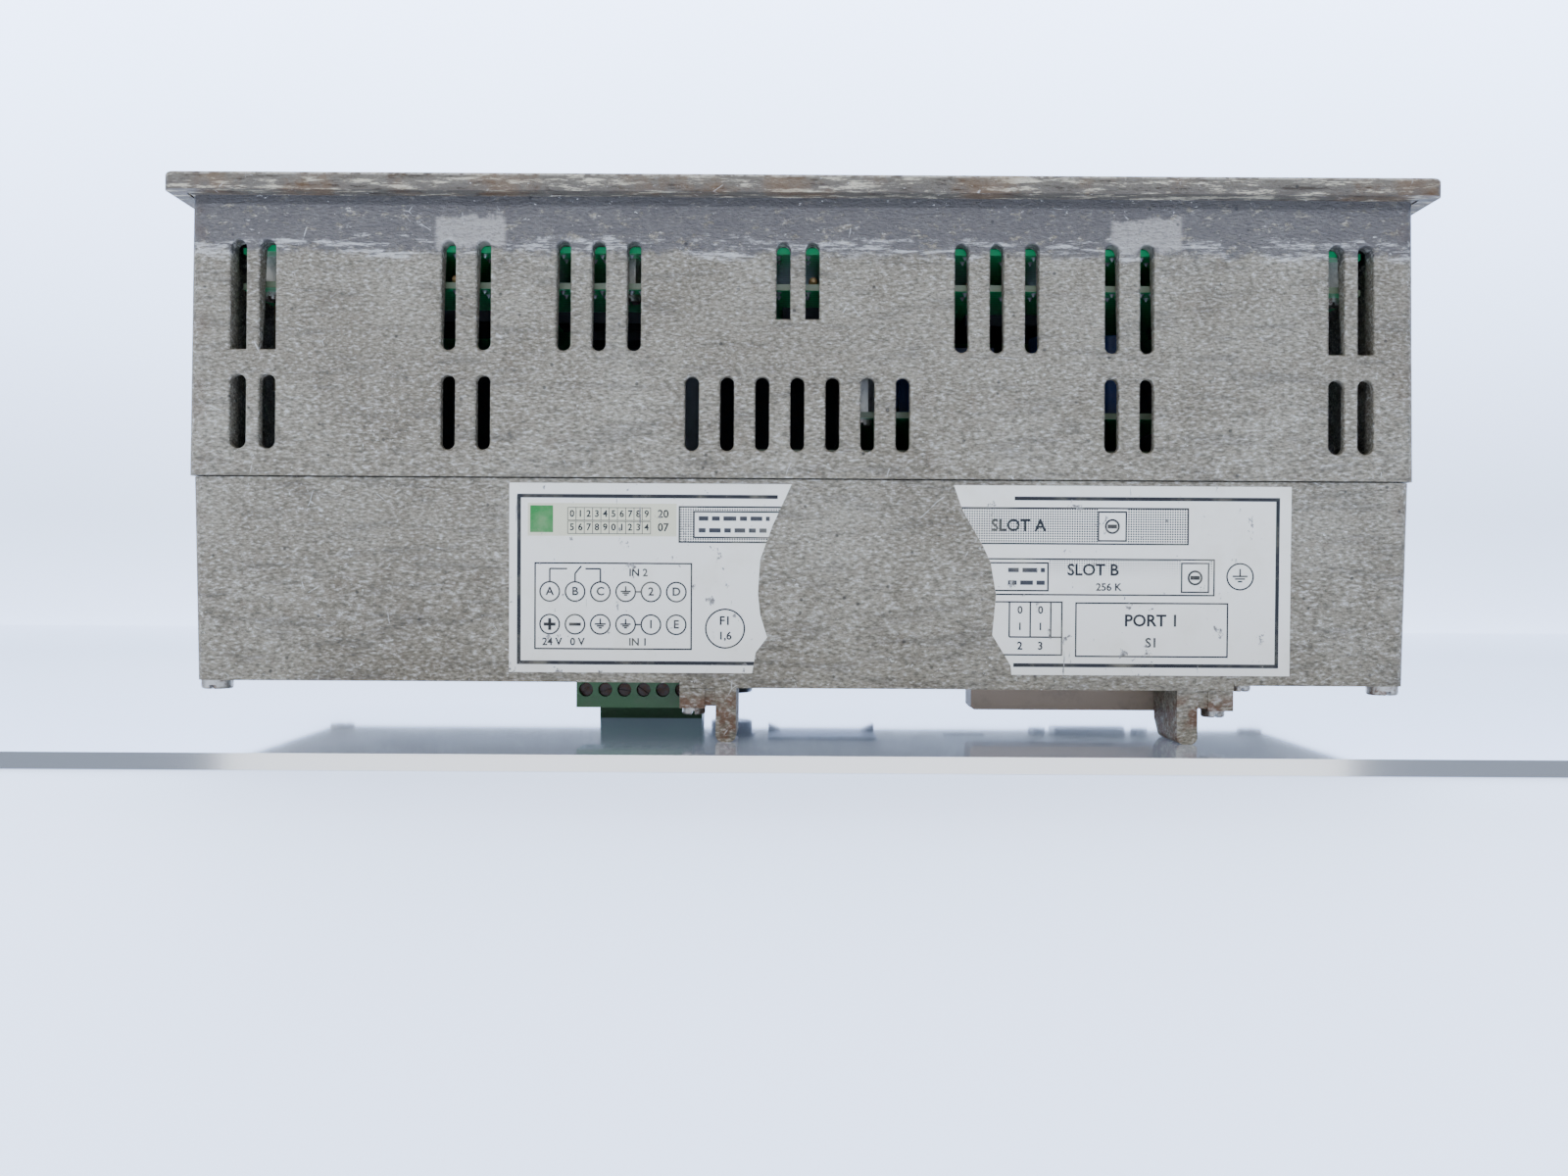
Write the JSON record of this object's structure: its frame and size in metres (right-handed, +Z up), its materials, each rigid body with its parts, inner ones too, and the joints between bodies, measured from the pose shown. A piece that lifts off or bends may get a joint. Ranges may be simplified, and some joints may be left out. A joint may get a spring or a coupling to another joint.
{
  "type": "panel counter unit",
  "caption": "Panel-mount electronic counter in a cast metal housing, with front keys, display, vent slots, plug-in modules and pluggable screw terminals.",
  "frame": {"origin": "standing plane under the middle of the front flange, where the legs of the interface module touch", "axes": "+X along the long side with the interface module to the right of the middle as seen from the labelled side, +Y away from the labelled side, +Z up through the front plate"},
  "size_m": [0.32, 0.12, 0.1431],
  "materials": {
    "cast_aluminium": "fine pebbled casting",
    "front_foil": "textured foil",
    "window_acrylic": "polished",
    "display_frame": "matte",
    "display_glass": "polished",
    "lamp_resin": "clear coloured",
    "switch_body": "moulded",
    "circuit_board": "solder mask",
    "plated_steel": "zinc plated",
    "brass_post": "turned",
    "chip_package": "moulded",
    "power_components": "sleeved",
    "relay_case": "moulded",
    "flat_cable": "ribbed",
    "terminal_green": "moulded",
    "fuse_holder_black": "moulded",
    "fuse_glass": "glass with metal ends",
    "module_tan": "moulded",
    "switch_red": "moulded",
    "lever_white": "moulded",
    "cover_grey": "moulded",
    "cell_can": "sleeved",
    "printed_label": "printed vinyl",
    "key_cap": "moulded"
  },
  "bodies": {
    "housing": {"front_housing": "cast_aluminium", "front_overlay": "front_foil", "display_window": "window_acrylic", "display_frame": "display_frame", "display_glass": "display_glass", "status_lights": "lamp_resin", "key_switches": "switch_body", "front_board": "circuit_board", "main_board": "circuit_board", "power_board": "circuit_board", "io_board": "circuit_board", "shield_plate": "plated_steel", "board_spacers": "plated_steel", "board_posts": "brass_post", "small_screws": "plated_steel", "processor_chips": "chip_package", "power_components": "power_components", "relay": "relay_case", "ribbon_headers": "switch_body", "ribbon_cable": "flat_cable", "rear_housing": "cast_aluminium", "housing_screws": "plated_steel", "terminal_headers": "terminal_green", "fuse_holder": "fuse_holder_black", "memory_socket": "switch_body", "setting_switch": "switch_red", "serial_shell": "plated_steel", "serial_insert": "switch_body", "serial_posts": "plated_steel", "battery": "cell_can", "wiring_label": "printed_label"},
    "key_7_body": {"key_7": "key_cap"},
    "key_8_body": {"key_8": "key_cap"},
    "key_9_body": {"key_9": "key_cap"},
    "key_4_body": {"key_4": "key_cap"},
    "key_5_body": {"key_5": "key_cap"},
    "key_6_body": {"key_6": "key_cap"},
    "key_1_body": {"key_1": "key_cap"},
    "key_2_body": {"key_2": "key_cap"},
    "key_3_body": {"key_3": "key_cap"},
    "key_0_body": {"key_0": "key_cap"},
    "key_clear_body": {"key_clear": "key_cap"},
    "key_enter_body": {"key_enter": "key_cap"},
    "setting_lever_1_body": {"setting_lever_1": "lever_white"},
    "setting_lever_2_body": {"setting_lever_2": "lever_white"},
    "setting_lever_3_body": {"setting_lever_3": "lever_white"},
    "setting_lever_4_body": {"setting_lever_4": "lever_white"},
    "signal_plug_body": {"signal_plug": "terminal_green", "signal_plug_screws": "plated_steel"},
    "supply_plug_body": {"supply_plug": "terminal_green", "supply_plug_screws": "plated_steel"},
    "module_body": {"module_frame": "cast_aluminium", "module_port": "switch_body", "module_board": "circuit_board"},
    "captive_left_body": {"captive_screw_left": "plated_steel"},
    "captive_right_body": {"captive_screw_right": "plated_steel"},
    "memory_body": {"memory_module": "module_tan"},
    "fuse_link_body": {"fuse_link": "fuse_glass"},
    "fuse_cap_body": {"fuse_cap": "fuse_holder_black"},
    "battery_cover_body": {"battery_cover": "cover_grey"}
  },
  "joints": [
    {"name": "key_7_press", "type": "slide", "parent": "housing", "child": "key_7_body", "axis": [0, 0, -1], "range_m": [0, 0.0005], "stiffness_N_per_m": 1500, "springref_m": -0.0005},
    {"name": "key_8_press", "type": "slide", "parent": "housing", "child": "key_8_body", "axis": [0, 0, -1], "range_m": [0, 0.0005], "stiffness_N_per_m": 1500, "springref_m": -0.0005},
    {"name": "key_9_press", "type": "slide", "parent": "housing", "child": "key_9_body", "axis": [0, 0, -1], "range_m": [0, 0.0005], "stiffness_N_per_m": 1500, "springref_m": -0.0005},
    {"name": "key_4_press", "type": "slide", "parent": "housing", "child": "key_4_body", "axis": [0, 0, -1], "range_m": [0, 0.0005], "stiffness_N_per_m": 1500, "springref_m": -0.0005},
    {"name": "key_5_press", "type": "slide", "parent": "housing", "child": "key_5_body", "axis": [0, 0, -1], "range_m": [0, 0.0005], "stiffness_N_per_m": 1500, "springref_m": -0.0005},
    {"name": "key_6_press", "type": "slide", "parent": "housing", "child": "key_6_body", "axis": [0, 0, -1], "range_m": [0, 0.0005], "stiffness_N_per_m": 1500, "springref_m": -0.0005},
    {"name": "key_1_press", "type": "slide", "parent": "housing", "child": "key_1_body", "axis": [0, 0, -1], "range_m": [0, 0.0005], "stiffness_N_per_m": 1500, "springref_m": -0.0005},
    {"name": "key_2_press", "type": "slide", "parent": "housing", "child": "key_2_body", "axis": [0, 0, -1], "range_m": [0, 0.0005], "stiffness_N_per_m": 1500, "springref_m": -0.0005},
    {"name": "key_3_press", "type": "slide", "parent": "housing", "child": "key_3_body", "axis": [0, 0, -1], "range_m": [0, 0.0005], "stiffness_N_per_m": 1500, "springref_m": -0.0005},
    {"name": "key_0_press", "type": "slide", "parent": "housing", "child": "key_0_body", "axis": [0, 0, -1], "range_m": [0, 0.0005], "stiffness_N_per_m": 1500, "springref_m": -0.0005},
    {"name": "key_clear_press", "type": "slide", "parent": "housing", "child": "key_clear_body", "axis": [0, 0, -1], "range_m": [0, 0.0005], "stiffness_N_per_m": 1500, "springref_m": -0.0005},
    {"name": "key_enter_press", "type": "slide", "parent": "housing", "child": "key_enter_body", "axis": [0, 0, -1], "range_m": [0, 0.0005], "stiffness_N_per_m": 1500, "springref_m": -0.0005},
    {"name": "setting_lever_1_slide", "type": "slide", "parent": "housing", "child": "setting_lever_1_body", "axis": [0, 1, 0], "range_m": [0, 0.002]},
    {"name": "setting_lever_2_slide", "type": "slide", "parent": "housing", "child": "setting_lever_2_body", "axis": [0, 1, 0], "range_m": [0, 0.002]},
    {"name": "setting_lever_3_slide", "type": "slide", "parent": "housing", "child": "setting_lever_3_body", "axis": [0, 1, 0], "range_m": [0, 0.002]},
    {"name": "setting_lever_4_slide", "type": "slide", "parent": "housing", "child": "setting_lever_4_body", "axis": [0, 1, 0], "range_m": [0, 0.002]},
    {"name": "signal_plug_pull", "type": "slide", "parent": "housing", "child": "signal_plug_body", "axis": [0, 0, -1], "range_m": [0, 0.016]},
    {"name": "supply_plug_pull", "type": "slide", "parent": "housing", "child": "supply_plug_body", "axis": [0, 0, -1], "range_m": [0, 0.016]},
    {"name": "module_pull", "type": "slide", "parent": "housing", "child": "module_body", "axis": [0, 0, -1], "range_m": [0, 0.064]},
    {"name": "memory_pull", "type": "slide", "parent": "housing", "child": "memory_body", "axis": [0, 0, -1], "range_m": [0, 0.016]},
    {"name": "fuse_pull", "type": "slide", "parent": "housing", "child": "fuse_link_body", "axis": [0, 0, -1], "range_m": [0, 0.036]},
    {"name": "battery_cover_pull", "type": "slide", "parent": "housing", "child": "battery_cover_body", "axis": [0, 0, -1], "range_m": [0, 0.006]},
    {"name": "captive_left_turn", "type": "hinge", "parent": "module_body", "child": "captive_left_body", "pos_m": [-0.0274, -0.0467, 0.009], "axis": [0, 0, -1], "continuous": true},
    {"name": "captive_right_turn", "type": "hinge", "parent": "module_body", "child": "captive_right_body", "pos_m": [0.107, -0.0467, 0.009], "axis": [0, 0, -1], "continuous": true},
    {"name": "fuse_cap_turn", "type": "hinge", "parent": "fuse_link_body", "child": "fuse_cap_body", "pos_m": [-0.0206, 0.035, 0.01], "axis": [0, 0, -1], "range_deg": [-90, 0]}
  ]
}
